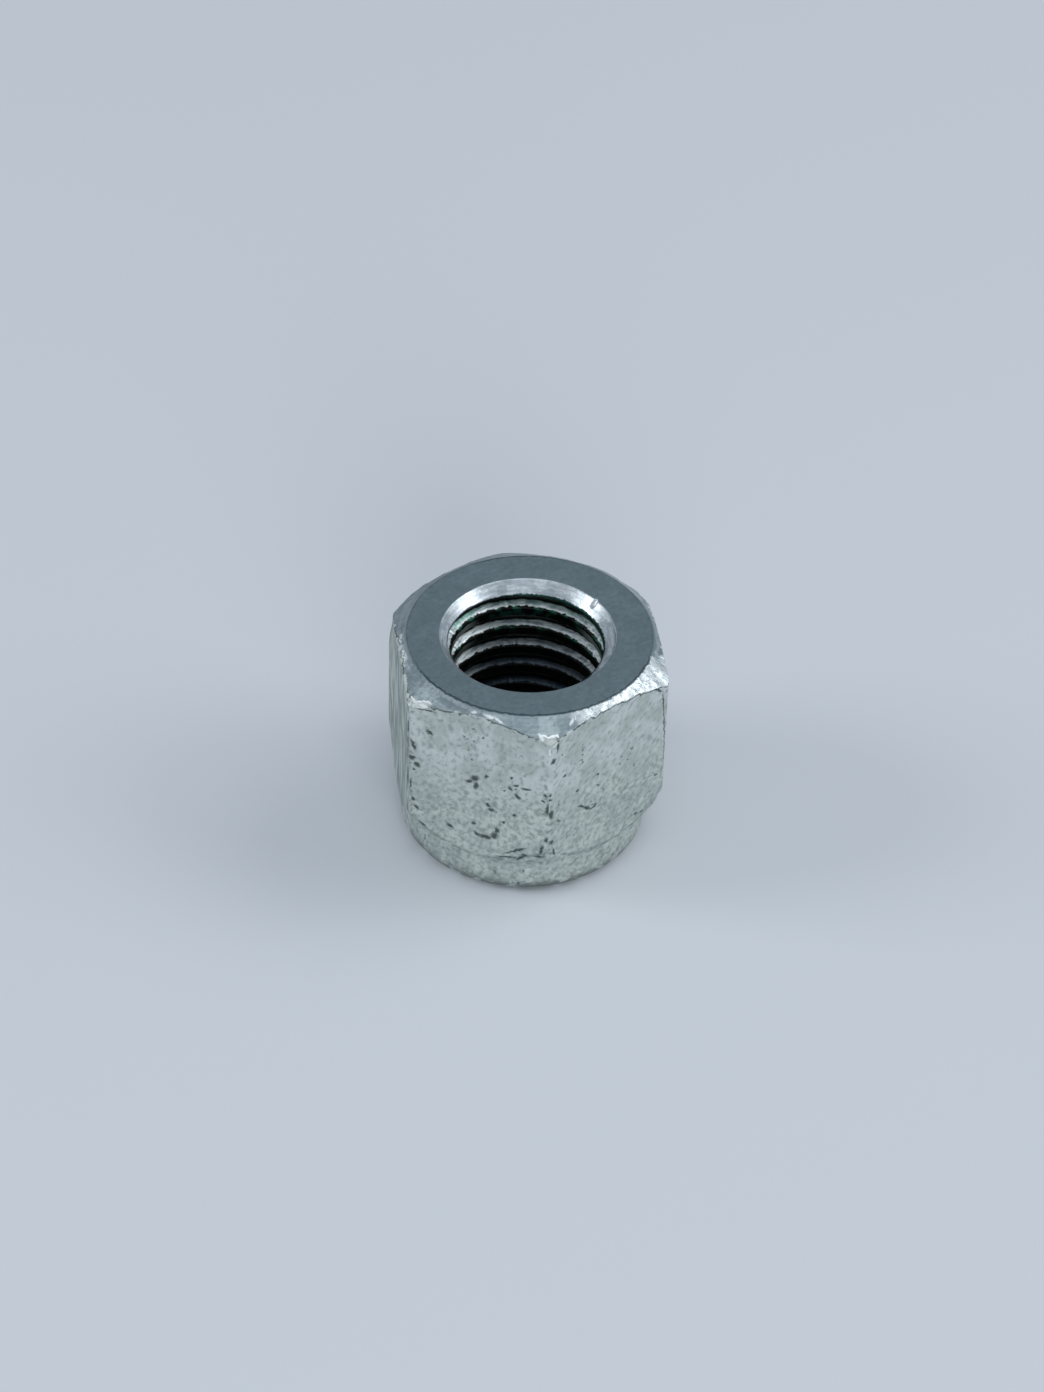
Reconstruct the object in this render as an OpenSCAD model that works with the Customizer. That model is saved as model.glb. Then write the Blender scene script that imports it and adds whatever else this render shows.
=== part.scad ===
// Prevailing-torque hexagon nut with a nylon locking ring, M12 x 1.75.
// The nut stands on its rolled collar with the bearing face upwards, and the
// thread axis is Z. All sizes are in millimetres and degrees.

/* [Thread] */
// Major diameter, across the roots of the internal thread
thread_d = 12; // [8:0.5:16]
// Axial distance from one turn to the next
thread_pitch = 1.75; // [1.5:0.25:2.25]
// Radial depth of the thread, from crest to root
thread_depth = 0.78; // [0.5:0.02:0.84]
// Angle between the two flanks of a turn
flank_angle = 60; // [50:5:60]
// Direction in which the middle of a root passes the bearing face
thread_start = 50; // [0:5:355]
// Radial step from the thread's root out to the countersink's rim
countersink_margin = 0.1; // [0.05:0.05:0.5]
// Included angle of both countersinks
countersink_angle = 90; // [80:5:120]

/* [Hexagon] */
// Wall between the thread's major diameter and a flat
hexagon_wall = 3; // [2.6:0.1:4]
// Radial amount by which each corner is rounded back
corner_trim = 0.1; // [0.05:0.05:0.4]
// Height of a corner, from the bearing face to the shoulder
hexagon_h = 11.2; // [8:0.1:12]
// Radial step from a flat in to the rim of the bearing face
bearing_inset = 0.5; // [0.2:0.05:0.9]
// Slope of the chamfer that runs out from the bearing face
chamfer_angle = 30; // [15:1:40]

/* [Collar] */
// Overall height of the nut
nut_h = 16.3; // [15.5:0.1:20]
// Radial step from a flat in to the collar
collar_inset = 0.3; // [0.1:0.05:0.6]
// Height over which the corners taper in to the collar
shoulder_h = 2.1; // [0.8:0.1:2.4]
// Thickness of the collar's wall
collar_wall = 1.2; // [0.9:0.1:1.4]
// Outer radius of the rolled edge
roll_r = 1.2; // [0.8:0.1:1.6]
// Thickness of the lip rolled over the nylon ring
lip_t = 0.8; // [0.5:0.1:1]
// Radial reach of the lip over the nylon ring
lip_w = 1; // [0.7:0.05:1.1]
// Inner radius of the bend between wall and lip
bend_r = 0.4; // [0.2:0.1:0.6]

/* [Nylon ring] */
// Height of the ring
ring_h = 3.8; // [3:0.1:5]
// Radial amount by which the ring stands into the thread's major diameter
ring_bite = 0.35; // [0.1:0.05:0.45]
// Chamfer at both ends of the ring's bore
ring_chamfer = 0.25; // [0.1:0.05:0.4]
// Radial clearance between the ring and its recess
ring_fit = 0.03; // [0.01:0.01:0.1]

/* [Hidden] */
$fn = 96;

// Helix facets in one turn, and how far the groove cutter reaches past the
// crests and past each end of the steel thread
groove_steps = 36;
groove_reach = 0.25;
groove_turns_past_end = 1;
// The root of a metric thread is flat over an eighth of the pitch
root_half_w = thread_pitch / 16;
// Overshoot of a cutting solid past the face it opens
past = 1;

thread_r = thread_d / 2;
crest_r = thread_r - thread_depth;
countersink_r = thread_r + countersink_margin;
countersink_h = (countersink_r - crest_r) / tan(countersink_angle / 2);

across_flats = thread_d + 2 * hexagon_wall;
flat_r = across_flats / 2;
corner_r = flat_r / cos(30) - corner_trim;
bearing_r = flat_r - bearing_inset;
chamfer_h = (corner_r - bearing_r) * tan(chamfer_angle);

collar_r = flat_r - collar_inset;
recess_r = collar_r - collar_wall;
mouth_r = recess_r - lip_w;
corner_foot_z = nut_h - hexagon_h;
shoulder_foot_z = corner_foot_z - shoulder_h;
seat_z = lip_t + ring_h;

ring_r = recess_r - ring_fit;
ring_bore_r = thread_r - ring_bite;

// What a lower outer corner of a revolved profile loses when it is rounded. The
// sharp corner is at [r, z].
module lower_corner_waste(r, z, radius) {
    difference() {
        translate([r - radius, z - past]) square([radius + past, radius + past]);
        translate([r - radius, z + radius]) circle(radius);
    }
}

// Outside of the steel, before the flats are cut
module outer_profile() {
    difference() {
        polygon([
            [0, 0],
            [collar_r, 0],
            [collar_r, shoulder_foot_z],
            [corner_r, corner_foot_z],
            [corner_r, nut_h - chamfer_h],
            [bearing_r, nut_h],
            [0, nut_h]
        ]);
        lower_corner_waste(collar_r, 0, roll_r);
    }
}

// Space inside the steel: mouth, recess for the ring, bore and countersinks
module inner_profile() {
    polygon([
        [0, -past],
        [mouth_r, -past],
        [mouth_r, seat_z],
        [countersink_r, seat_z],
        [crest_r, seat_z + countersink_h],
        [crest_r, nut_h - countersink_h],
        [countersink_r, nut_h],
        [countersink_r, nut_h + past],
        [0, nut_h + past]
    ]);
    difference() {
        translate([0, lip_t]) square([recess_r, ring_h]);
        lower_corner_waste(recess_r, lip_t, bend_r);
    }
}

module hexagon() {
    cylinder(h = nut_h, r = flat_r / cos(30), $fn = 6);
}

// One cross-section of the groove cutter, at step i of the helix
function groove_section(i) =
    let (
        a = thread_start + i * 360 / groove_steps,
        z = nut_h + i * thread_pitch / groove_steps,
        inner_r = crest_r - groove_reach,
        inner_half_w = root_half_w + (thread_r - inner_r) * tan(flank_angle / 2)
    ) [
        [thread_r * cos(a), thread_r * sin(a), z - root_half_w],
        [thread_r * cos(a), thread_r * sin(a), z + root_half_w],
        [inner_r * cos(a), inner_r * sin(a), z + inner_half_w],
        [inner_r * cos(a), inner_r * sin(a), z - inner_half_w]
    ];

// Right-hand helical groove, as a swept trapezium of flat facets
module thread_groove() {
    turns_down = ceil((nut_h - seat_z) / thread_pitch) + groove_turns_past_end;
    first = -turns_down * groove_steps;
    last = groove_turns_past_end * groove_steps;
    sections = [for (i = [first:last]) groove_section(i)];
    count = len(sections);
    points = [for (section = sections) each section];
    sides = [
        for (i = [0:count - 2], j = [0:3])
            let (a = 4 * i + j, b = 4 * i + (j + 1) % 4)
            each [[a, b, a + 4], [b, b + 4, a + 4]]
    ];
    ends = [[3, 2, 1, 0], [for (j = [0:3]) 4 * (count - 1) + j]];
    polyhedron(points = points, faces = concat(sides, ends));
}

module nut_body() {
    color("#a3abac")
    difference() {
        intersection() {
            rotate_extrude() difference() {
                outer_profile();
                inner_profile();
            }
            hexagon();
        }
        thread_groove();
    }
}

module nylon_ring() {
    color("#e8e4d6")
    rotate_extrude() difference() {
        polygon([
            [ring_bore_r + ring_chamfer, lip_t],
            [ring_r, lip_t],
            [ring_r, seat_z],
            [ring_bore_r + ring_chamfer, seat_z],
            [ring_bore_r, seat_z - ring_chamfer],
            [ring_bore_r, lip_t + ring_chamfer]
        ]);
        lower_corner_waste(ring_r, lip_t, bend_r);
    }
}

nut_body();
nylon_ring();
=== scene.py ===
"""Nylon insert lock nut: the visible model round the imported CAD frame.

The steel body and the nylon ring are modelled round the frame's own nodes and given
their finishes. Then come the floor, the softboxes and the camera. Sizes are written in
millimetres and degrees, and MM turns a length into Blender's metres. Directions round
the thread's axis are counted from +X, anticlockwise as seen from above.
"""
import math

import bmesh
import bpy
from mathutils import Matrix, Vector, noise


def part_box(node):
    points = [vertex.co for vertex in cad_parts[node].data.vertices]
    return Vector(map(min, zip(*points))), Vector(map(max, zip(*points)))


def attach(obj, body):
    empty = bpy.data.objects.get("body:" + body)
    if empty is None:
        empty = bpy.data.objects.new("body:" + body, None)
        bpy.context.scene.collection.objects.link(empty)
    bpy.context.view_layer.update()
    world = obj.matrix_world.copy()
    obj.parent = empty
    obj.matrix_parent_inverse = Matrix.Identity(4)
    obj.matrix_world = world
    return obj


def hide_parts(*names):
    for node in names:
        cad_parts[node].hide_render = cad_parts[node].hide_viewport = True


MM = 0.001

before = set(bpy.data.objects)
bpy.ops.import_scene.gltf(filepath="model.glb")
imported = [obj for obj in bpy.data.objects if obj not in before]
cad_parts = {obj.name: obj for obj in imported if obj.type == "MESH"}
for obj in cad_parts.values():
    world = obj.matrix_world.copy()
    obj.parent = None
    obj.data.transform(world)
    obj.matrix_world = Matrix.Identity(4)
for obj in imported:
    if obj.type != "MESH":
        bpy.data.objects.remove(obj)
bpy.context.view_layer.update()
_, body_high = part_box("nut_body")
ring_low, ring_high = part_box("nylon_ring")

# ---------------------------------------------------------------- sizes of the nut

NUT_H = body_high.z / MM
FLAT_R = body_high.y / MM
CORNER_R = body_high.x / MM
CORNER_FILLET = 0.6

FACE_R = 8.5
# The turned face sits a little off the thread's axis
FACE_CENTRE = Vector((0.09, 0.12))
CHAMFER_SLOPE = math.tan(math.radians(30))

THREAD_R = 6.0
THREAD_DEPTH = 0.78
CREST_R = THREAD_R - THREAD_DEPTH
PITCH = 1.75
THREAD_START = 50.0
ROOT_HALF_W = PITCH / 16
FLANK_SLOPE = math.tan(math.radians(30))
ROOT_ROUND = 0.1
CREST_ROUND = 0.05
COUNTERSINK_R = 6.1
COUNTERSINK_H = COUNTERSINK_R - CREST_R

COLLAR_R = 8.7
ROLL_R = 1.2
CORNER_FOOT_Z = 5.1
SHOULDER_FOOT_Z = 3.0
SHOULDER_H = CORNER_FOOT_Z - SHOULDER_FOOT_Z
SHOULDER_BULGE = 0.4
MOUTH_R = 6.5
RECESS_R = 7.5
BEND_R = 0.4

RING_R = ring_high.x / MM
RING_FOOT_Z = ring_low.z / MM
RING_TOP_Z = ring_high.z / MM
RING_BORE_R = 5.65
RING_BORE_CHAMFER = 0.25
RING_TOP_CHAMFER = 0.1

COLUMNS = 384
# Share of their even spacing that the columns keep at the corners
CORNER_SPACING = 0.5
BORE_RINGS = 152
RING_COLUMNS = 144

# ---------------------------------------------------------------- wear of the nut

# How far the coated surfaces are worn in from their true size, on average
COAT_WEAR = 0.02
# Marks round the nut, for marks(): direction, spread in degrees, and size.
# Knocked corners: how far a knock goes in, draws the chamfer's foot down, and reaches
BRUISES = [(182, 9, 1), (60, 10, 1)]
BRUISE_DEPTH = 0.3
BRUISE_DROP = 0.25
BRUISE_REACH = 1.5
# Notches in the countersink's rim, by depth
NICKS = [(60, 1.3, 0.14)]
# Places where the coat reaches up over the chamfer's foot, by height
COAT_LIFTS = [(210, 18, 0.3), (241, 8, 0.45), (300, 4, 0.5)]
# Raised lips along the chamfer's foot, painted with a bright highlight: 1 is unbroken
LIPS = [(243, 6, 1), (213, 16, 0.55), (300, 4, 1), (278, 14, 0.4), (50, 32, 0.6)]
# The chamfer is torn and pushed over the flats on both sides of this direction
TORN_MIDDLE = 342.5
TORN_REACH = 31
TORN_FADE = 3
# Raggedness of the chamfer's foot: height, length of its bumps and seed
RAGGED_FOOT = [(0.05, 0.4, 3), (0.07, 1.4, 8)]
TORN_RAGGED = 0.14
TORN_DROP = 0.06
# Burr that hangs from the chamfer's foot: how far it stands out, and how far down
BURR_W = 0.03
TORN_BURR_W = 0.05
BURR_H = 0.12
# Raggedness of the flats' lower edge
RAGGED_WALL_FOOT = 0.05
# Radial amount by which the corners' feet are rounded in, and how far up
FOOT_ROUND = 0.22
FOOT_ROUND_H = 0.3
# Unevenness of the thread's flanks, along the axis, and of its crests, in radius
FLANK_TEARING = 0.04
CREST_WEAR = 0.02

# ---------------------------------------------------------------- shape of the body


def radial(angle):
    """Unit vector across the axis, in a direction in degrees."""
    return Vector((math.cos(math.radians(angle)), math.sin(math.radians(angle))))


def from_corner(angle):
    """Degrees from the nearest of the hexagon's corners, negative before it."""
    return (angle + 30) % 60 - 30


def fade(distance, reach):
    """1 at no distance, falling smoothly to nearly 0 at twice the reach."""
    return math.exp(-((distance / reach) ** 2))


def off_direction(angle, middle):
    """Degrees from a direction, negative before it."""
    return (angle - middle + 180) % 360 - 180


def marks(places, angle):
    """Size of a kind of mark in a direction: all its places together."""
    return sum(size * fade(off_direction(angle, middle), spread) for middle, spread, size in places)


def torn(angle):
    """1 where the chamfer is torn and pushed over, 0 elsewhere."""
    off = abs(off_direction(angle, TORN_MIDDLE))
    return min(max((TORN_REACH - off) / TORN_FADE, 0), 1)


def crowded(angle):
    """Draws the evenly spaced columns together at the corners, where the form is tight."""
    off = from_corner(angle)
    return angle - off + off * (CORNER_SPACING + (1 - CORNER_SPACING) * (off / 30) ** 2)


def unevenness(angle, height, size, seed):
    """Smooth noise over the nut's outside, from -1 to 1, with bumps of a given size."""
    u = radial(angle)
    return noise.noise(Vector((u.x * FLAT_R, u.y * FLAT_R, height + seed)) / size)


def hexagon_r(angle):
    """Radius of the filleted hexagon."""
    off = math.radians(abs(from_corner(angle)))
    on_flat = FLAT_R / math.cos(math.radians(30) - off)
    if on_flat * math.sin(off) > CORNER_FILLET / 2:
        return on_flat
    centre = (FLAT_R - CORNER_FILLET) / math.cos(math.radians(30))
    return centre * math.cos(off) + math.sqrt(CORNER_FILLET**2 - (centre * math.sin(off)) ** 2)


def side_r(angle, height):
    """Radius of the sides, a little worn from the true hexagon."""
    return hexagon_r(angle) + COAT_WEAR * (unevenness(angle, height, size=2.5, seed=1) - 1)


def face_rim(angle):
    """Radius of the turned face, seen from the thread's axis."""
    return FACE_R + FACE_CENTRE.dot(radial(angle))


def chamfer_foot(angle):
    """Height at which the chamfer runs out on the flats."""
    ragged = sum(high * unevenness(angle, NUT_H, size, seed) for high, size, seed in RAGGED_FOOT)
    tears = TORN_RAGGED * unevenness(angle, NUT_H, size=0.7, seed=31)
    ragged += torn(angle) * (tears - TORN_DROP)
    drop = (hexagon_r(angle) - face_rim(angle)) * CHAMFER_SLOPE
    return NUT_H - drop + ragged - BRUISE_DROP * marks(BRUISES, angle)


def reach_out(angle):
    """How far the hexagon stands out from the collar: 1 at the corners."""
    return (hexagon_r(angle) - COLLAR_R) / (CORNER_R - COLLAR_R)


def wall_foot(angle):
    """Height at which the flats run out on the shoulder."""
    ragged = RAGGED_WALL_FOOT * unevenness(angle, 0, size=0.8, seed=5)
    return SHOULDER_FOOT_Z + SHOULDER_H * reach_out(angle) + ragged


def foot_round(angle, above):
    """How far the corners' feet are rounded in, at a height above the wall's foot."""
    return FOOT_ROUND * reach_out(angle) ** 2 * fade(above, FOOT_ROUND_H)


def smooth_min(a, b, reach):
    """The smaller value, with a rounded change from one to the other."""
    blend = max(reach - abs(a - b), 0) / reach
    return min(a, b) - blend * blend * reach / 4


def thread_radius(angle, height):
    """Radius of the threaded bore: rounded flats at root and crest, 60 degree flanks."""
    turn = (height - NUT_H) / PITCH - (angle - THREAD_START) / 360
    tearing = FLANK_TEARING * unevenness(angle, height, size=0.3, seed=11)
    from_root = abs(turn - round(turn)) * PITCH + tearing
    sunk = (from_root - ROOT_HALF_W) / FLANK_SLOPE
    crest = THREAD_DEPTH + CREST_WEAR * unevenness(angle, height, size=0.5, seed=17)
    return THREAD_R - smooth_min(-smooth_min(-sunk, 0, ROOT_ROUND), crest, CREST_ROUND)


def on_body(zone, along, angle, r, z):
    """Radius and height of a point of the body, from its place on the plain revolve."""
    if zone == "face":
        rim = COUNTERSINK_R + marks(NICKS, angle)
        return rim + (face_rim(angle) - rim) * along, z
    if zone == "chamfer":
        foot = chamfer_foot(angle)
        r = face_rim(angle) + (side_r(angle, foot) - face_rim(angle)) * along
        return r - BRUISE_DEPTH * marks(BRUISES, angle) * along, NUT_H + (foot - NUT_H) * along
    if zone == "wall":
        top, foot = chamfer_foot(angle), wall_foot(angle)
        z = top + (foot - top) * along
        knocked = BRUISE_DEPTH * marks(BRUISES, angle) * fade(top - z, BRUISE_REACH)
        burr = (BURR_W + TORN_BURR_W * torn(angle)) * fade(top - z, BURR_H)
        burr *= max(0, unevenness(angle, 0, size=0.7, seed=23))
        return side_r(angle, z) - knocked + burr - foot_round(angle, z - foot), z
    if zone == "shoulder":
        foot = wall_foot(angle)
        out = side_r(angle, foot) - foot_round(angle, 0) - COLLAR_R
        bulge = SHOULDER_BULGE * math.sin(math.pi * along) ** 2
        r = COLLAR_R + out * (1 - along) * (1 + bulge)
        return r, foot + (SHOULDER_FOOT_Z - foot) * along
    if zone in ("collar", "roll"):
        return r + COAT_WEAR * (unevenness(angle, z, size=1.6, seed=2) - 1), z
    if zone == "bore":
        cone = CREST_R + max(z - (NUT_H - COUNTERSINK_H), RING_TOP_Z + COUNTERSINK_H - z, 0)
        notch = marks(NICKS, angle) if z > NUT_H - COUNTERSINK_H / 2 else 0
        return notch - smooth_min(-cone, -thread_radius(angle, z), CREST_ROUND), z
    return r, z


# Half section of the body as stretches that run round it: zone, end point, rings and,
# for a round stretch, the angle in degrees that it turns through
SECTION = [
    ("face", (FACE_R, NUT_H), 8, 0),
    ("chamfer", (CORNER_R, NUT_H - (CORNER_R - FACE_R) * CHAMFER_SLOPE), 10, 0),
    ("wall", (CORNER_R, CORNER_FOOT_Z), 34, 0),
    ("shoulder", (COLLAR_R, SHOULDER_FOOT_Z), 10, 0),
    ("collar", (COLLAR_R, ROLL_R), 6, 0),
    ("roll", (COLLAR_R - ROLL_R, 0), 12, -90),
    ("lip", (MOUTH_R, 0), 5, 0),
    ("lip", (MOUTH_R, RING_FOOT_Z), 4, 0),
    ("recess", (RECESS_R - BEND_R, RING_FOOT_Z), 3, 0),
    ("recess", (RECESS_R, RING_FOOT_Z + BEND_R), 5, 90),
    ("recess", (RECESS_R, RING_TOP_Z), 3, 0),
    ("recess", (COUNTERSINK_R, RING_TOP_Z), 3, 0),
]
ZONES = ["face", "chamfer", "wall", "shoulder", "collar", "roll", "lip", "recess", "bore"]


def stretch_points(start, end, rings, turn):
    """Points from start to end, closer together at both ends, with each one's share. A
    stretch that turns is an arc, to the left of its way where the turn is positive."""
    chord = end - start
    half = math.radians(turn) / 2
    for i in range(1, rings + 1):
        share = (1 - math.cos(math.pi * i / rings)) / 2
        point = start + chord * share
        if turn:
            radius = chord.length / 2 / math.sin(half)
            sweep = half * (2 * share - 1)
            out = Vector((chord.y, -chord.x)).normalized()
            point = (start + end) / 2 + chord.normalized() * radius * math.sin(sweep)
            point += out * radius * (math.cos(sweep) - math.cos(half))
        yield point, share


def section_points():
    """Points of the whole half section, each with its zone and its share of the stretch."""
    here = Vector((COUNTERSINK_R, NUT_H))
    for zone, end, rings, turn in SECTION:
        for point, share in stretch_points(here, Vector(end), rings, turn):
            yield point, zone, share
        here = Vector(end)
    for i in range(1, BORE_RINGS + 1):
        height = RING_TOP_Z + (NUT_H - RING_TOP_Z) * i / BORE_RINGS
        yield Vector((CREST_R, height)), "bore", i / BORE_RINGS


def finish_index(face, face_zones):
    """Slot of a face's material: 0 for the coat, 1 for the thread, then a flat's own."""
    if face_zones & {"bore", "recess"} and "face" not in face_zones:
        return 1
    middle = face.calc_center_median()
    flat = math.degrees(math.atan2(middle.y, middle.x)) // 60 * 60 % 360 + 30
    return 2 + list(DARK_SPOTS).index(flat) if flat in DARK_SPOTS else 0


# A distance past every line that the finishes draw
FAR = 9
# How far from a corner the coat is rubbed
CORNER_RUB = 0.45


def line_distances(zone, angle, r, z):
    """Distances in mm past the lines that the finishes draw: the coat's upper edge, the
    face's rim and the crease over the shoulder. The corners and lips are from 0 to 1."""
    foot = chamfer_foot(angle)
    above_foot = {"face": FAR, "chamfer": (z - foot) * 2, "bore": FAR}.get(zone, z - foot)
    return {
        "turned": above_foot - marks(COAT_LIFTS, angle),
        "rim": r - face_rim(angle) if zone in ("face", "chamfer", "bore") else FAR,
        "corner": fade(math.radians(from_corner(angle)) * CORNER_R, CORNER_RUB),
        "crease": z - wall_foot(angle),
        "lip": marks(LIPS, angle),
    }


def nut_body():
    """The revolved section, with its rings then drawn on to the hexagon and the thread."""
    bm = bmesh.new()
    zone_of = bm.verts.layers.int.new("zone")
    along_of = bm.verts.layers.float.new("along")
    loop = []
    for point, zone, along in section_points():
        vert = bm.verts.new((point.x, 0, point.y))
        vert[zone_of] = ZONES.index(zone)
        vert[along_of] = along
        loop.append(vert)
    for a, b in zip(loop, loop[1:] + loop[:1]):
        bm.edges.new((a, b))
    bmesh.ops.spin(
        bm, geom=bm.verts[:] + bm.edges[:], cent=(0, 0, 0), axis=(0, 0, 1),
        angle=math.tau, steps=COLUMNS, use_merge=True,
    )
    bmesh.ops.recalc_face_normals(bm, faces=bm.faces[:])
    for face in bm.faces:
        face.smooth = True
        face.material_index = finish_index(face, {ZONES[vert[zone_of]] for vert in face.verts})

    attribute_of = {
        name: bm.verts.layers.float.new(name)
        for name in ("turned", "rim", "corner", "crease", "lip")
    }
    for vert in bm.verts:
        zone = ZONES[vert[zone_of]]
        angle = crowded(math.degrees(math.atan2(vert.co.y, vert.co.x)))
        r, z = on_body(zone, vert[along_of], angle, math.hypot(vert.co.x, vert.co.y), vert.co.z)
        u = radial(angle) * r
        vert.co = Vector((u.x, u.y, z)) * MM
        for name, distance in line_distances(zone, angle, r, z).items():
            vert[attribute_of[name]] = distance
    bm.verts.layers.int.remove(zone_of)
    bm.verts.layers.float.remove(along_of)
    return finished(bm, "nut_body_steel")


def rims(bm, radius, height):
    """Edges of the circle at a radius and height."""
    close = 0.01 * MM
    return [
        edge for edge in bm.edges
        if all(
            abs(math.hypot(vert.co.x, vert.co.y) - radius * MM) < close
            and abs(vert.co.z - height * MM) < close
            for vert in edge.verts
        )
    ]


def nylon_ring():
    """Revolved rectangle with its four rims rounded, the outer foot to fit the bend."""
    bm = bmesh.new()
    section = [
        bm.verts.new((r * MM, 0, z * MM))
        for r, z in [
            (RING_BORE_R, RING_FOOT_Z), (RING_R, RING_FOOT_Z),
            (RING_R, RING_TOP_Z), (RING_BORE_R, RING_TOP_Z),
        ]
    ]
    edges = [bm.edges.new(pair) for pair in zip(section, section[1:] + section[:1])]
    bmesh.ops.spin(
        bm, geom=section + edges, cent=(0, 0, 0), axis=(0, 0, 1),
        angle=math.tau, steps=RING_COLUMNS, use_merge=True,
    )
    bmesh.ops.recalc_face_normals(bm, faces=bm.faces[:])
    for radius, height, size in [
        (RING_R, RING_FOOT_Z, BEND_R), (RING_R, RING_TOP_Z, RING_TOP_CHAMFER),
        (RING_BORE_R, RING_FOOT_Z, RING_BORE_CHAMFER), (RING_BORE_R, RING_TOP_Z, RING_BORE_CHAMFER),
    ]:
        bmesh.ops.bevel(
            bm, geom=rims(bm, radius, height), offset=size * MM, offset_type="OFFSET",
            affect="EDGES", segments=4, profile=0.5, material=-1,
        )
    for face in bm.faces:
        face.smooth = True
    return finished(bm, "nylon_ring_moulded")


def finished(bm, name):
    """Turns a bmesh into an object in the scene."""
    mesh = bpy.data.meshes.new(name)
    bm.to_mesh(mesh)
    bm.free()
    piece = bpy.data.objects.new(name, mesh)
    bpy.context.scene.collection.objects.link(piece)
    return piece


# ---------------------------------------------------------------- finishes


def colour(hex_value):
    """Linear colour of an sRGB hex value."""
    parts = [int(hex_value[i:i + 2], 16) / 255 for i in (1, 3, 5)]
    linear = [c / 12.92 if c <= 0.04045 else ((c + 0.055) / 1.055) ** 2.4 for c in parts]
    return (*linear, 1)


def add(tree, kind, sockets, output=None, **settings):
    """Adds a node and gives its named output, or else the first that its settings leave
    in use. An input is given a value, or the output that feeds it."""
    made = tree.nodes.new(kind)
    for name, value in settings.items():
        setattr(made, name, value)
    for name, value in sockets.items():
        if isinstance(value, bpy.types.NodeSocket):
            tree.links.new(value, made.inputs[name])
        else:
            made.inputs[name].default_value = value
    if output:
        return made.outputs[output]
    return next((socket for socket in made.outputs if socket.enabled), None)


def new_material(name):
    """An empty material and its node tree."""
    material = bpy.data.materials.new(name)
    material.use_nodes = True
    material.node_tree.nodes.clear()
    return material, material.node_tree


def millimetres(tree):
    """The object's own coordinates, in mm."""
    place = add(tree, "ShaderNodeTexCoord", {}, "Object")
    return add(tree, "ShaderNodeVectorMath", {0: place, "Scale": 1 / MM}, operation="SCALE")


def paint(tree, base, mask, layers):
    """A base colour with others laid over it in turn. Each shows where all of its masks
    are 1, and its masks' names are joined by an x."""
    for names, shade in layers:
        cover, *others = (mask[name] for name in names.split(" x "))
        for other in others:
            cover = add(tree, "ShaderNodeMath", {0: cover, 1: other}, operation="MULTIPLY")
        base = add(tree, "ShaderNodeMix", {0: cover, 6: base, 7: colour(shade)}, data_type="RGBA")
    return base


def round_axis(tree, mm):
    """Of a point in mm: its distance from the thread's axis, its direction and its height."""
    level = add(tree, "ShaderNodeVectorMath", {0: mm, 1: (1, 1, 0)}, operation="MULTIPLY")
    radius = add(tree, "ShaderNodeVectorMath", {0: level}, operation="LENGTH")
    way = add(tree, "ShaderNodeVectorMath", {0: level}, operation="NORMALIZE")
    return radius, way, add(tree, "ShaderNodeSeparateXYZ", {0: mm}, "Z")


def drawn_round(tree, way, across, spacing, breaks):
    """Coordinates that draw a noise out into lines round the axis. The lines change every
    spacing mm of the distance across them, and break a few times to the radian."""
    step = add(tree, "ShaderNodeMath", {0: across, 1: 1 / spacing}, operation="MULTIPLY")
    step = add(tree, "ShaderNodeCombineXYZ", {"Z": step})
    return add(
        tree, "ShaderNodeVectorMath", {0: way, 1: (breaks, breaks, breaks), 2: step},
        operation="MULTIPLY_ADD",
    )


# Depth of a spot's ellipse into the steel, and how dense its middle is
SPOT_DEPTH = 0.8
SPOT_STRENGTH = 0.95


def spots(tree, vector, flat, places, soft):
    """Mask of spots on one flat. Each is an ellipse: its distance along the
    flat and its height, its half length and half width, all in mm, and its tilt. Soft is
    how many half widths out the spot has faded."""
    nearest = FAR
    out, way = radial(flat), radial(flat + 90)
    for across, height, half_length, half_width, tilt in places:
        middle = out * FLAT_R + way * across
        spot = add(
            tree, "ShaderNodeMapping",
            {
                "Vector": vector,
                "Location": (middle.x, middle.y, height),
                "Rotation": (0, -math.radians(tilt), math.radians(flat + 90)),
                "Scale": (half_length, SPOT_DEPTH, half_width),
            },
            vector_type="TEXTURE",
        )
        reach = add(tree, "ShaderNodeVectorMath", {0: spot}, operation="LENGTH")
        nearest = add(tree, "ShaderNodeMath", {0: nearest, 1: reach}, operation="MINIMUM")
    return add(
        tree, "ShaderNodeMapRange",
        {"Value": nearest, "From Min": soft, "From Max": 1 / soft, "To Max": SPOT_STRENGTH},
        interpolation_type="SMOOTHSTEP",
    )
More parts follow.
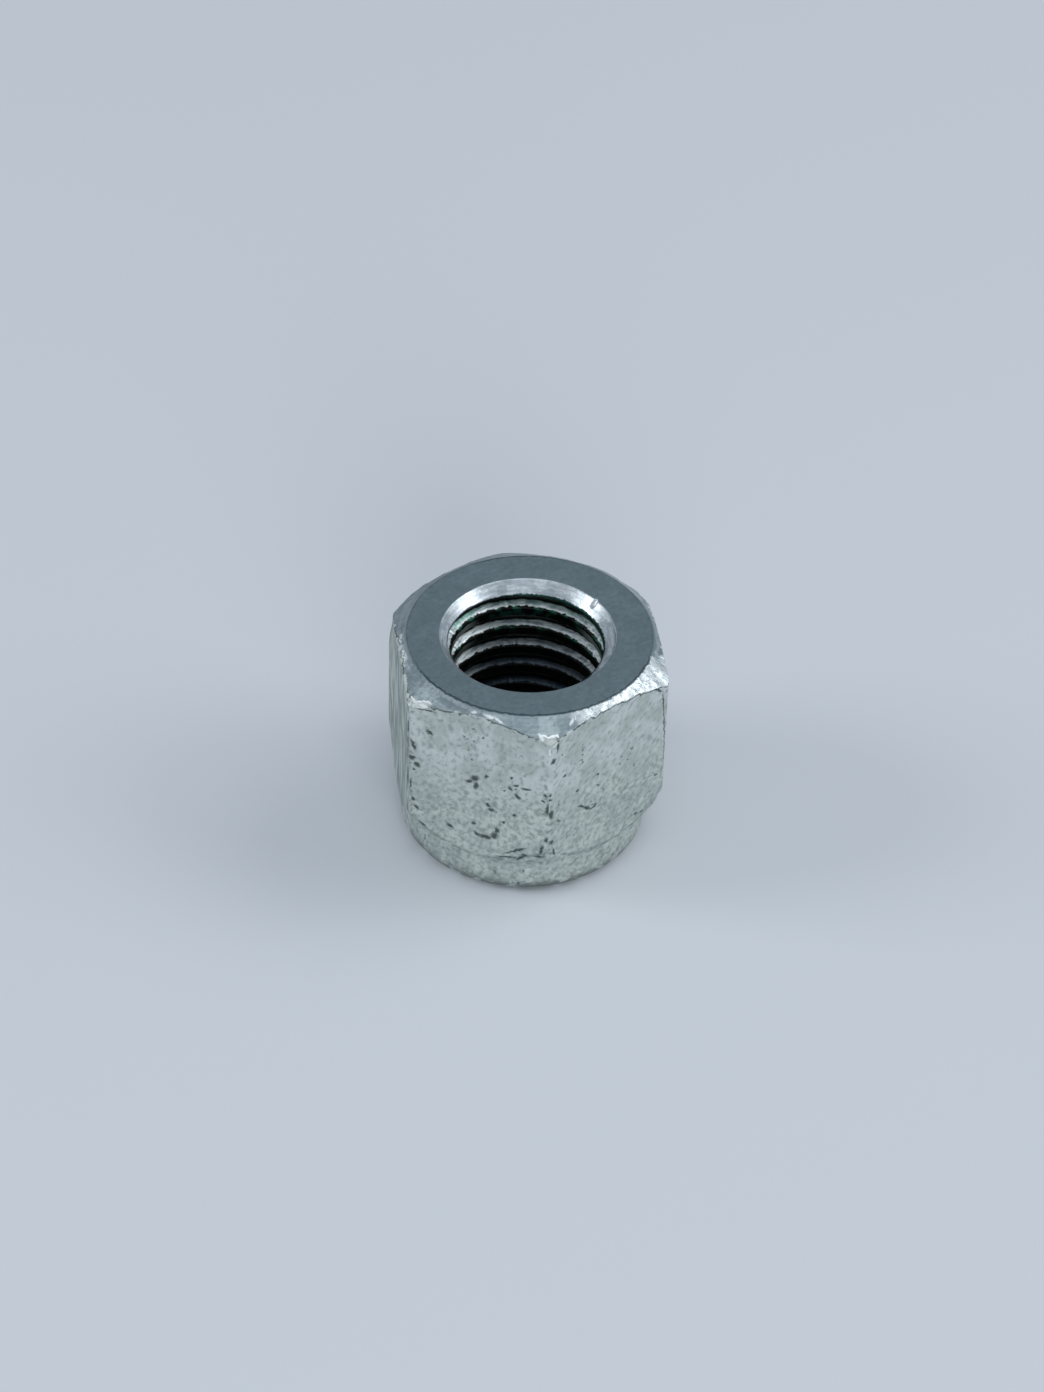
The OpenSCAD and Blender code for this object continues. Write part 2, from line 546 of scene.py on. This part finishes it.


# Pits, stains and a few thin lines of painted shade, for spots(), by the direction of the flat that
# they are on
DARK_SPOTS = {
    210: [
        (4.7, 10.5, 0.5, 0.07, 85), (3.2, 13.6, 0.7, 0.05, 88), (4.2, 15.3, 0.5, 0.05, -5),
        (4.5, 12.5, 1.0, 0.05, 90), (5.05, 13.3, 0.5, 0.08, 88), (5.0, 12.0, 0.3, 0.07, 92),
        (5.1, 9.0, 0.6, 0.06, 88),
    ],
    270: [
        (-3.6, 13.4, 0.22, 0.14, -25), (-0.25, 10.4, 0.26, 0.2, 15), (-0.15, 9.75, 0.3, 0.15, 80),
        (-0.65, 10.0, 0.2, 0.14, 20), (0.6, 10.8, 0.14, 0.1, 60), (0.75, 8.3, 0.17, 0.12, -30),
        (1.0, 7.95, 0.2, 0.14, 0), (2.9, 9.8, 0.22, 0.13, -45), (-0.25, 6.25, 0.15, 0.15, 0),
        (-2.0, 5.4, 0.22, 0.12, -30), (0.0, 5.35, 0.22, 0.13, -40), (0.6, 5.3, 0.42, 0.15, 5),
        (1.25, 5.6, 0.26, 0.2, 50), (1.45, 6.15, 0.2, 0.12, 80), (1.9, 7.1, 0.12, 0.11, 0),
        (2.85, 4.78, 0.75, 0.08, 33), (2.2, 3.95, 0.6, 0.07, 14), (3.2, 4.15, 0.36, 0.1, 50),
        (3.5, 4.55, 0.2, 0.15, 0), (4.5, 4.6, 0.35, 0.1, 5), (3.9, 3.85, 0.35, 0.08, 0),
        (4.7, 5.4, 0.5, 0.1, 74), (5.1, 6.45, 0.14, 0.16, 0), (4.85, 10.6, 0.14, 0.13, 0),
        (4.75, 10.0, 0.12, 0.1, 0), (5.1, 9.3, 0.16, 0.42, 0), (2.4, 11.35, 0.12, 0.09, 0),
        (2.75, 10.75, 0.2, 0.08, 20), (2.35, 10.35, 0.15, 0.1, 0), (3.5, 10.7, 0.28, 0.1, 10),
        (2.7, 8.0, 0.14, 0.1, 0), (-4.8, 11.9, 0.4, 0.12, -70), (-4.85, 10.7, 0.24, 0.16, 15),
        (-4.5, 10.2, 0.2, 0.17, -10), (-4.7, 9.7, 0.1, 0.1, 0), (-4.75, 6.9, 0.14, 0.13, -40),
        (-4.5, 6.25, 0.2, 0.13, -40), (-4.1, 4.8, 0.26, 0.12, -30), (-2.7, 15.85, 0.16, 0.12, 0),
        # The first spot on the next line is painted shadow under the lip at the corner at 240
        # degrees
        (-3.9, 15.3, 0.6, 0.05, 6), (-4.95, 8.3, 0.4, 0.07, 85),
    ],
    330: [
        (-4.95, 13.65, 0.22, 0.13, 60), (-4.6, 14.9, 0.5, 0.08, 85), (-2.7, 15.85, 0.32, 0.1, 35),
        (-2.3, 8.15, 0.3, 0.09, -35), (-1.8, 7.7, 0.32, 0.1, -45), (-1.25, 7.5, 0.28, 0.09, 20),
        (3.3, 4.6, 0.14, 0.1, 0), (2.7, 4.7, 0.12, 0.1, 0), (-0.9, 10.3, 0.12, 0.1, 0),
        (-5.1, 10.6, 0.12, 0.12, 0), (-5.1, 10.2, 0.14, 0.08, 0), (-4.95, 8.8, 0.14, 0.36, 0),
        (-4.85, 6.2, 0.15, 0.15, 0), (-4.55, 5.1, 0.45, 0.08, -72), (-3.9, 11.8, 0.15, 0.1, 0),
        # The long thin spots from (4.72, 13.8) to the end of the list are painted shade down the
        # corner at 0 degrees
        (-2.7, 9.8, 0.14, 0.1, 0), (4.22, 15.2, 0.4, 0.07, -34), (4.72, 13.8, 0.8, 0.05, 96),
        (4.87, 12.3, 0.8, 0.045, 96), (5.0, 11.0, 0.8, 0.045, 95), (5.08, 9.3, 0.9, 0.04, 92),
    ],
}
# Bright scuffs with painted glints on them, where the edges of the chamfer have been knocked
BRIGHT_SPOTS = {
    210: [(-1.1, 16.1, 0.3, 0.07, 0), (1.0, 16.1, 0.4, 0.06, 0)],
    270: [
        (-4.1, 15.5, 0.35, 0.05, 6), (0.6, 16.08, 0.4, 0.05, -4), (1.3, 16.0, 0.35, 0.05, -14),
        (4.35, 15.5, 0.3, 0.06, -28), (5.1, 14.5, 0.1, 0.3, 0), (-0.5, 16.08, 0.2, 0.05, 0),
    ],
    330: [(-4.8, 15.05, 0.26, 0.1, 30), (-3.1, 15.95, 0.3, 0.06, 25)],
}


# Directions of what the coat's masks pick out: the torn chamfer with its painted highlight,
# the left flat, and two corners where the painted shade line round the face is lost
TORN_WAY = 342
LEFT_WAY = 210
RIM_LOST_WAYS = (184, 52)
# Part that is left there of the painted shade line
LOST_RIM = 0.3
# Width in mm of the band that a spot's outline is shaken in, the grain of the shaking,
# and the share of it that the bright spots have
SHAKE = 0.35
SHAKE_GRAIN = 0.25
BRIGHT_SHAKE = 0.4
# How the mottling is turned, in degrees, and how far it and the streaks are drawn out
MOTTLE_TURN = (0, -45, 60)
MOTTLE_STRETCH = 1.6
STREAK_STRETCH = 9


def zinc_patterns(tree, mm, flat):
    """Grains and masks of the coated steel, by name."""
    radius, way, height = round_axis(tree, mm)
    normal = add(tree, "ShaderNodeTexCoord", {}, "Normal")

    # Coordinates: shaken for the spots, slanting for the mottling, drawn out along the
    # bar for the streaks, and round the axis for the turning marks
    shake = add(
        tree, "ShaderNodeTexNoise", {"Vector": mm, "Scale": 1 / SHAKE_GRAIN, "Detail": 3}, "Color"
    )
    shaken = mm
    for source, size in [(shake, SHAKE), ((1, 1, 1), -SHAKE / 2)]:
        shaken = add(
            tree, "ShaderNodeVectorMath", {0: source, 1: (size, size, size), 2: shaken},
            operation="MULTIPLY_ADD",
        )
    less_shaken = add(
        tree, "ShaderNodeMix", {0: BRIGHT_SHAKE, 4: mm, 5: shaken}, data_type="VECTOR"
    )
    slant = add(
        tree, "ShaderNodeMapping",
        {
            "Vector": mm, "Rotation": [math.radians(turn) for turn in MOTTLE_TURN],
            "Scale": (MOTTLE_STRETCH, 1, 1),
        },
        vector_type="TEXTURE",
    )
    upright = add(
        tree, "ShaderNodeMapping", {"Vector": mm, "Scale": (1, 1, STREAK_STRETCH)},
        vector_type="TEXTURE",
    )
    turning = drawn_round(tree, way, radius, spacing=0.14, breaks=3)

    # Noise: name, coordinates, grain in mm and detail
    grain = {
        name: add(
            tree, "ShaderNodeTexNoise", {"Vector": vector, "Scale": 1 / size, "Detail": detail}
        )
        for name, vector, size, detail in [
            ("patches", mm, 1.6, 2), ("mottle", slant, 0.32, 4), ("fine", mm, 0.12, 2),
            ("pits", mm, 0.42, 2), ("where", mm, 3.0, 1), ("streaks", upright, 0.35, 3),
            ("rings", turning, 1.0, 3), ("scuffs", turning, 3.0, 3), ("breaks", mm, 0.9, 2),
            ("blotches", mm, 0.35, 5),
        ]
    }
    attribute = {
        name: add(tree, "ShaderNodeAttribute", {}, "Fac", attribute_name=name)
        for name in ("turned", "rim", "corner", "crease", "lip")
    }
    # How far a vector points in a direction: 1 is straight that way
    toward = {
        angle: add(
            tree, "ShaderNodeVectorMath", {0: vector, 1: (*radial(angle), 0)},
            operation="DOT_PRODUCT",
        )
        for angle, vector in [
            (TORN_WAY, way), (LEFT_WAY, normal), *((angle, way) for angle in RIM_LOST_WAYS)
        ]
    }
    # The lines between coat, chamfer and face wander: a noise shifts them to both sides
    wander, ragged = (
        add(
            tree, "ShaderNodeMath", {0: grain[name], 1: width, 2: -width / 2},
            operation="MULTIPLY_ADD",
        )
        for name, width in [("mottle", 0.5), ("breaks", 0.6)]
    )
    both = add(tree, "ShaderNodeMath", {0: wander, 1: ragged}, operation="ADD")
    line = {
        name: add(tree, "ShaderNodeMath", dict(enumerate(values)), operation=operation)
        for name, operation, *values in [
            ("edge", "ADD", attribute["turned"], both),
            ("rim", "MULTIPLY_ADD", wander, 0.5, attribute["rim"]),
            ("crease", "ADD", attribute["crease"], wander),
            ("lip", "ADD", attribute["lip"], grain["breaks"]),
            ("torn", "MULTIPLY_ADD", ragged, 0.2, toward[TORN_WAY]),
            ("rim lost", "MAXIMUM", *(toward[angle] for angle in RIM_LOST_WAYS)),
            ("low", "MULTIPLY_ADD", grain["patches"], 8, height),
        ]
    }
    # The tearing stops at the face, which lies below 0 on the rim's own scale
    off_face = add(
        tree, "ShaderNodeMapRange",
        {"Value": line["rim"], "From Min": -0.02, "From Max": 0.02, "To Min": -2, "To Max": 0},
    )
    struck_glint = add(tree, "ShaderNodeMath", {0: line["torn"], 1: off_face}, operation="ADD")
    rim_lost = add(tree, "ShaderNodeMath", {0: line["rim lost"], 1: wander}, operation="ADD")
    # Distances in mm to both sides of a line, moved by an offset
    beside = {
        name: add(
            tree, "ShaderNodeMath",
            {0: add(tree, "ShaderNodeMath", {0: source, 1: offset}, operation="SUBTRACT")},
            operation="ABSOLUTE",
        )
        for name, source, offset in [
            ("edge", line["edge"], -0.06), ("lip", line["edge"], 0.1),
            ("rim", line["rim"], 0), ("crease", line["crease"], 0),
        ]
    }

    # Masks: name, source, the values where it starts and where it is full, and its top
    mask = {
        name: add(
            tree, "ShaderNodeMapRange",
            {"Value": source, "From Min": start, "From Max": full, "To Max": top},
            interpolation_type="SMOOTHSTEP",
        )
        for name, source, start, full, top in [
            ("turned", line["edge"], -0.05, 0.05, 1),
            ("face", attribute["rim"], 0.02, -0.02, 1),
            # Painted shade line round the face's rim
            ("rim line", beside["rim"], 0.11, 0.05, 0.85),
            ("rim seen", rim_lost, 0.85, 0.6, 1),
            # Painted shadow under the chamfer's burr
            ("edge line", beside["edge"], 0.09, 0.03, 0.8),
            ("plain edge", attribute["lip"], 0.7, 0.4, 1),
            # Painted highlight on the raised lips
            ("lip", beside["lip"], 0.11, 0.05, 1),
            ("raised", line["lip"], 0.95, 1.05, 1),
            ("scoured", attribute["lip"], 0.25, 0.6, 0.7),
            # Painted highlight over the torn chamfer
            ("struck_glint", struck_glint, 0.86, 0.9, 1),
            ("dents", grain["blotches"], 0.5, 0.62, 0.7),
            # Painted shade in the crease over the shoulder
            ("crease line", beside["crease"], 0.25, 0.03, 0.4),
            ("broken", grain["breaks"], 0.4, 0.5, 1),
            ("patches", grain["patches"], 0.35, 0.65, 1),
            ("mottle", grain["mottle"], 0.5, 0.68, 0.6),
            ("pale", grain["mottle"], 0.45, 0.3, 0.3),
            ("blotches", grain["blotches"], 0.42, 0.7, 0.8),
            ("low", line["low"], 15.0, 11.5, 1),
            ("pits", grain["pits"], 0.66, 0.72, 0.75),
            ("pitted", grain["where"], 0.45, 0.6, 1),
            ("streaks", grain["streaks"], 0.38, 0.6, 0.85),
            ("left side", toward[LEFT_WAY], 0.75, 0.95, 1),
            ("hexagon", height, SHOULDER_FOOT_Z - 0.2, SHOULDER_FOOT_Z + 1, 1),
            ("rings", grain["rings"], 0.4, 0.65, 0.25),
            ("scuffs", grain["scuffs"], 0.5, 0.62, 0.5),
            ("worn", attribute["corner"], 0.2, 0.9, 0.6),
            # Painted shade on the roll under the collar
            ("underside", height, ROLL_R + 0.7, ROLL_R - 1, 0.85),
        ]
    }
    mask["rim seen"] = add(
        tree, "ShaderNodeMath", {0: mask["rim seen"], 1: LOST_RIM}, operation="MAXIMUM"
    )
    for name, vector, places, soft in [
        ("dark spots", shaken, DARK_SPOTS, 1.8), ("bright spots", less_shaken, BRIGHT_SPOTS, 1.4),
    ]:
        mask[name] = spots(tree, vector, flat, places[flat], soft) if flat else 0
    for name, other in [("pits", "pitted"), ("dents", "struck_glint"), ("dents", "turned")]:
        mask[name] = add(
            tree, "ShaderNodeMath", {0: mask[name], 1: mask[other]}, operation="MULTIPLY"
        )
    return grain, mask


def zinc_coated_steel(name, flat=None):
    """Cold-formed steel with a dull zinc coat: matt, mottled grey with dark pits. Where
    the face and the chamfer were turned it is smoother, and shows the tool's rings. A
    flat's own spots are added where its direction is given."""
    material, tree = new_material(name)
    mm = millimetres(tree)
    grain, mask = zinc_patterns(tree, mm, flat)

    # Pale coat, a little darker and greener towards the bottom, with darker clouds and mottling,
    # a darker left flat with streaks, dark pits, painted shade with dark specks of dirt on the
    # roll under the collar, and painted shade broken into dark marks in the crease over the
    # shoulder
    coat = paint(tree, colour("#c9d2d2"), mask, [
        ("low", "#c5ceca"),
        ("patches", "#b4bebc"),
        ("low x blotches", "#929d99"),
        ("mottle", "#8c9795"),
        ("pale", "#dde3df"),
        ("left side x hexagon", "#c0cac7"),
        ("left side x hexagon x streaks", "#76827f"),
        ("worn x mottle", "#6c7776"),
        # Painted shade with dark specks of dirt on the roll under the collar
        ("underside x broken", "#4b5652"),
        ("pits", "#4c5654"),
        # Painted shade, broken into dark marks, in the crease over the shoulder
        ("crease line x broken", "#5b6664"),
        # Pits and stains, and a few thin lines of painted shade
        ("dark spots", "#485350"),
    ])
    # Bare blue-grey steel with faint rings and scuffs, bright where the chamfer is torn, with a
    # painted highlight there, and a darker, quieter face
    bare = paint(tree, colour("#8a999f"), mask, [
        ("rings", "#6c7e88"),
        ("scoured", "#a9b7bb"),
        ("scuffs", "#bac6ca"),
        ("mottle", "#74838c"),
        ("pale", "#b4c0c5"),
        # Painted highlight over the torn chamfer
        ("struck_glint", "#d3dcdf"),
        ("dents", "#a3b2b8"),
        ("face", "#7d8f96"),
        ("face x patches", "#77888f"),
        ("face x mottle", "#6c7e85"),
        ("face x pale", "#93a4ab"),
    ])
    base = add(
        tree, "ShaderNodeMix", {0: mask["turned"], 6: coat, 7: bare}, data_type="RGBA"
    )
    # A dark broken line of painted shadow under the chamfer's burr, a painted shade line round the
    # face's rim, a painted highlight on the raised lips, and bright scuffs with painted glints
    base = paint(tree, base, mask, [
        # Painted shadow under the chamfer's burr
        ("edge line x broken x plain edge", "#46514f"),
        # Painted shade line round the face's rim
        ("rim line x rim seen", "#35464d"),
        # Painted highlight on the raised lips
        ("lip x raised", "#eef3f4"),
        # Bright scuffs with painted glints on them
        ("bright spots", "#dfe6e8"),
    ])
    # The coat scatters the light more than the turned steel
    rough = add(
        tree, "ShaderNodeMapRange", {"Value": mask["turned"], "To Min": 0.6, "To Max": 0.4}
    )
    # Low bumps and pits that break up the highlights, with their heights in mm
    relief = 0
    for source, size in [
        (grain["mottle"], 0.03), (grain["fine"], 0.012), (grain["patches"], 0.05),
        (mask["rings"], 0.006), (mask["pits"], -0.02), (mask["dents"], -0.02),
    ]:
        relief = add(
            tree, "ShaderNodeMath", {0: source, 1: size, 2: relief}, operation="MULTIPLY_ADD"
        )
    bump = add(tree, "ShaderNodeBump", {"Height": relief, "Distance": MM, "Strength": 1})
    shader = add(
        tree, "ShaderNodeBsdfPrincipled",
        {"Base Color": base, "Metallic": 0.75, "Roughness": rough, "Normal": bump},
    )
    add(tree, "ShaderNodeOutputMaterial", {"Surface": shader})
    return material


# The painted shade down the bore is lighter toward this direction and away from it, as if this much
# less deep
LIGHTER_SHADE_WAY = 20
LIGHTER_SHADE_DEPTH = 3.0
# Share of a turn over which the painted light on the crest's under edge is ragged
CREST_TEARING = 0.2


def thread_patterns(tree, mm):
    """Grains and masks of the cut thread, by name."""
    radius, way, height = round_axis(tree, mm)
    under_face = add(tree, "ShaderNodeMath", {0: NUT_H, 1: height}, operation="SUBTRACT")
    above_crests = add(
        tree, "ShaderNodeMath", {0: COUNTERSINK_H, 1: under_face}, operation="SUBTRACT"
    )
    groove = add(tree, "ShaderNodeMath", {0: radius, 1: CREST_R}, operation="SUBTRACT")
    scratched = drawn_round(tree, way, height, spacing=0.13, breaks=4)
    # Noise: name, coordinates, grain in mm and detail
    grain = {
        name: add(
            tree, "ShaderNodeTexNoise", {"Vector": vector, "Scale": 1 / size, "Detail": detail}
        )
        for name, vector, size, detail in [
            ("smears", mm, 0.8, 3), ("fine", mm, 0.15, 3), ("scratches", scratched, 1.0, 3),
            ("tears", mm, 0.4, 3),
        ]
    }
    sideways = add(
        tree, "ShaderNodeVectorMath", {0: way, 1: (*radial(LIGHTER_SHADE_WAY), 0)},
        operation="DOT_PRODUCT",
    )
    sideways = add(tree, "ShaderNodeMath", {0: sideways, 1: sideways}, operation="MULTIPLY")
    shade_depth = add(
        tree, "ShaderNodeMath", {0: sideways, 1: -LIGHTER_SHADE_DEPTH, 2: under_face},
        operation="MULTIPLY_ADD",
    )
    # Place across one turn of the thread: 0 and 1 in the roots, 0.5 on the crest
    x, y = (add(tree, "ShaderNodeSeparateXYZ", {0: mm}, part) for part in "XY")
    angle = add(tree, "ShaderNodeMath", {0: y, 1: x}, operation="ARCTAN2")
    turns = THREAD_START / 360 - CREST_TEARING / 2
    for source, size in [
        (under_face, -1 / PITCH), (angle, -1 / math.tau), (grain["tears"], CREST_TEARING),
    ]:
        turns = add(
            tree, "ShaderNodeMath", {0: source, 1: size, 2: turns}, operation="MULTIPLY_ADD"
        )
    across_turn = add(tree, "ShaderNodeMath", {0: turns}, operation="FRACT")
    # Noise in mm to both sides, for lines that are not sharp
    blur, fray, tear = (
        add(
            tree, "ShaderNodeMath", {0: grain[name], 1: width, 2: -width / 2},
            operation="MULTIPLY_ADD",
        )
        for name, width in [("smears", 0.25), ("fine", 0.24), ("tears", 0.3)]
    )
    near_root, near_crest, above_crests = (
        add(tree, "ShaderNodeMath", {0: source, 1: noise_mm}, operation="ADD")
        for source, noise_mm in [(groove, blur), (groove, fray), (above_crests, fray)]
    )
    near_crest = add(tree, "ShaderNodeMath", {0: near_crest, 1: tear}, operation="ADD")

    # Masks: name, source, the values where it starts and where it is full, and its top.
    # Depths are in mm from the crest into the groove, and down from the face
    mask = {
        name: add(
            tree, "ShaderNodeMapRange",
            {"Value": source, "From Min": start, "From Max": full, "To Max": top},
            interpolation_type="SMOOTHSTEP",
        )
        for name, source, start, full, top in [
            # Painted shade in the roots, and toward them with a green cast
            ("root", near_root, 0.52, 0.6, 1),
            ("rootward", near_root, 0.33, 0.53, 0.7),
            # Painted light toward the roots, against the shade there
            ("inner", near_crest, 0.18, 0.48, 0.8),
            # Painted highlight on the crests' edges
            ("lip", near_crest, 0.38, 0.2, 0.6),
            ("stained", near_crest, 0.24, 0.18, 1),
            # Crests painted black as shade and dark reflection
            ("crest", near_crest, 0.2, 0.14, 1),
            # Where the painted light on the crests' under edges falls
            ("under edge", across_turn, 0.59, 0.55, 1),
            # Painted shade down the bore
            ("deep", shade_depth, 1.4, 7.8, 0.95),
            ("sides", sideways, 0.4, 0.7, 0.85),
            ("upper", under_face, 4.5, 3.3, 1),
            ("top", under_face, 3.5, 1.3, 1),
            ("countersink", above_crests, 0.1, 0.14, 1),
            # Painted shade in the crease under the countersink
            ("crease", above_crests, -0.5, -0.12, 1),
            ("green", grain["smears"], 0.48, 0.62, 0.7),
            ("smeared", grain["smears"], 0.48, 0.62, 0.5),
            ("dull", grain["fine"], 0.4, 0.7, 0.3),
            ("grooved", grain["scratches"], 0.42, 0.6, 0.8),
        ]
    }
    return grain, mask


def oiled_thread_steel():
    """Cut thread with cutting oil left in it, dried green in patches: grey flanks, roots painted
    black as shade, crests painted black as shade and dark reflection, and painted shade that
    deepens down the bore. The countersink is clean and bright."""
    material, tree = new_material("oiled_thread_steel")
    mm = millimetres(tree)
    grain, mask = thread_patterns(tree, mm)

    # Bright scratched flanks, painted lighter toward the roots and with a painted highlight on
    # the lips, under painted shade that turns them blue-black with depth; roots and crests
    # painted black as shade, a painted shade with a green cast toward the roots of the upper
    # turns, green where the oil has dried, painted light on the crests' under edges at the
    # sides, and painted shade in the crease under the countersink
    thread = paint(tree, colour("#b2c8ce"), mask, [
        # Painted light toward the roots, against the shade there
        ("inner", "#eff5f6"),
        ("dull", "#98a8ac"),
        ("grooved", "#748990"),
        # Painted shade with a green cast toward the roots of the upper turns
        ("rootward x top", "#578a82"),
        ("green x top", "#6d9b90"),
        # Painted highlight on the crests' edges
        ("lip", "#f0f5f6"),
        # Painted shade that darkens the flanks down the bore
        ("deep", "#1c3040"),
        # Crests painted black as shade and dark reflection
        ("crest", "#070a0a"),
        # Roots painted black as shade
        ("root", "#0b1110"),
        ("green x stained x upper", "#205243"),
        # Painted light on the crests' under edges at the sides, near the top
        ("crest x sides x upper x under edge", "#b4c4bf"),
        # Painted shade in the crease under the countersink
        ("crease", "#1a3a34"),
    ])
    # The countersink: clean steel with the cutter's fine grooves
    clean = paint(tree, colour("#d3dbe1"), mask, [
        ("dull", "#7f8c95"),
        ("grooved", "#a9b4bb"),
        ("smeared", "#93a0a6"),
    ])
    base = add(
        tree, "ShaderNodeMix", {0: mask["countersink"], 6: thread, 7: clean}, data_type="RGBA"
    )
    # The countersink shines a little more than the thread
    rough = add(
        tree, "ShaderNodeMapRange", {"Value": mask["countersink"], "To Min": 0.42, "To Max": 0.34}
    )
    # A fine grain that breaks up the highlights
    bump = add(
        tree, "ShaderNodeBump", {"Height": grain["fine"], "Distance": 0.01 * MM, "Strength": 1}
    )
    shader = add(
        tree, "ShaderNodeBsdfPrincipled",
        {"Base Color": base, "Metallic": 0.85, "Roughness": rough, "Normal": bump},
    )
    add(tree, "ShaderNodeOutputMaterial", {"Surface": shader})
    return material


def natural_nylon():
    """Moulded nylon 66 in its natural ivory: waxy, a little translucent, lightly scuffed."""
    material, tree = new_material("natural_nylon")
    mm = millimetres(tree)
    cloud, scuffs = (
        add(tree, "ShaderNodeTexNoise", {"Vector": mm, "Scale": 1 / size, "Detail": detail})
        for size, detail in [(2.5, 2), (0.25, 3)]
    )
    mask = {
        name: add(
            tree, "ShaderNodeMapRange",
            {"Value": source, "From Min": start, "From Max": full, "To Max": top},
            interpolation_type="SMOOTHSTEP",
        )
        for name, source, start, full, top in [
            ("cloud", cloud, 0.35, 0.65, 0.6), ("scuffs", scuffs, 0.55, 0.7, 0.4),
        ]
    }
    # Slightly yellower clouds, and paler scuffs
    base = paint(tree, colour("#e8e3d4"), mask, [("cloud", "#ddd6c2"), ("scuffs", "#f2efe4")])
    bump = add(
        tree, "ShaderNodeBump", {"Height": scuffs, "Distance": 0.02 * MM, "Strength": 1}
    )
    shader = add(
        tree, "ShaderNodeBsdfPrincipled",
        {
            "Base Color": base, "Roughness": 0.48, "IOR": 1.53, "Normal": bump,
            "Subsurface Weight": 0.15, "Subsurface Scale": 0.5 * MM,
        },
    )
    add(tree, "ShaderNodeOutputMaterial", {"Surface": shader})
    return material


body = nut_body()
body.data.materials.append(zinc_coated_steel("zinc_coated_steel"))
body.data.materials.append(oiled_thread_steel())
for flat in DARK_SPOTS:
    body.data.materials.append(zinc_coated_steel(f"zinc_coated_steel_{flat}", flat))
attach(body, "root")
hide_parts("nut_body")

ring = nylon_ring()
ring.data.materials.append(natural_nylon())
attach(ring, "root")
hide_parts("nylon_ring")

# ---------------------------------------------------------------- floor, light, camera

FLOOR_HALF_W = 1500 * MM

# Where the camera stands, how it is turned, in degrees, and its lens in mm
CAMERA_PLACE = Vector((71.6, -197.1, 191.9)) * MM
CAMERA_TURN = 20.04
CAMERA_PITCH = 40.83
CAMERA_ROLL = 1.79
CAMERA_LENS = 103.1
SENSOR_W = 36
CLIP_START = 10 * MM

# Round lamps that face the nut: name, azimuth (0 is behind the nut, 90 to its right),
# elevation, diameter in metres and power in watts
SOFTBOX_DISTANCE = 800 * MM
SOFTBOXES = [
    ("overhead_softbox", 180, 74, 0.5, 0.7),
    ("front_softbox", 170, 18, 0.5, 2.7),
    ("left_softbox", 266, 30, 0.35, 1.6),
    ("right_softbox", 92, 31, 0.4, 1.4),
    ("back_right_softbox", 68, 48, 0.4, 0.9),
]


def floor():
    """A matt pale sheet under the nut."""
    bm = bmesh.new()
    bmesh.ops.create_grid(bm, x_segments=1, y_segments=1, size=FLOOR_HALF_W)
    piece = finished(bm, "floor")
    material, tree = new_material("pale_floor")
    shader = add(
        tree, "ShaderNodeBsdfPrincipled", {"Base Color": colour("#c9cfd6"), "Roughness": 0.95}
    )
    add(tree, "ShaderNodeOutputMaterial", {"Surface": shader})
    piece.data.materials.append(material)


def softbox(name, azimuth, elevation, size, power):
    """A round lamp that faces the nut."""
    data = bpy.data.lights.new(name, "AREA")
    data.shape = "DISK"
    data.size = size
    data.energy = power
    lamp = bpy.data.objects.new(name, data)
    turn = math.radians(CAMERA_TURN - azimuth)
    up = math.radians(elevation)
    way = Vector((-math.sin(turn) * math.cos(up), math.cos(turn) * math.cos(up), math.sin(up)))
    lamp.location = way * SOFTBOX_DISTANCE
    lamp.rotation_mode = "QUATERNION"
    lamp.rotation_quaternion = way.to_track_quat("Z", "Y")
    bpy.context.scene.collection.objects.link(lamp)


def camera():
    """The scene's camera, which looks down on the nut from the front."""
    data = bpy.data.cameras.new("camera")
    data.sensor_width = SENSOR_W
    data.lens = CAMERA_LENS
    data.clip_start = CLIP_START
    seen_from = bpy.data.objects.new("camera", data)
    seen_from.matrix_world = (
        Matrix.Translation(CAMERA_PLACE)
        @ Matrix.Rotation(math.radians(CAMERA_TURN), 4, "Z")
        @ Matrix.Rotation(math.radians(90 - CAMERA_PITCH), 4, "X")
        @ Matrix.Rotation(math.radians(CAMERA_ROLL), 4, "Z")
    )
    bpy.context.scene.collection.objects.link(seen_from)
    bpy.context.scene.camera = seen_from


floor()
for settings in SOFTBOXES:
    softbox(*settings)
camera()

world = bpy.data.worlds.new("studio")
bpy.context.scene.world = world
world.use_nodes = True
background = world.node_tree.nodes["Background"]
background.inputs["Color"].default_value = colour("#9fa6ae")
background.inputs["Strength"].default_value = 1
bpy.context.scene.view_settings.view_transform = "Standard"
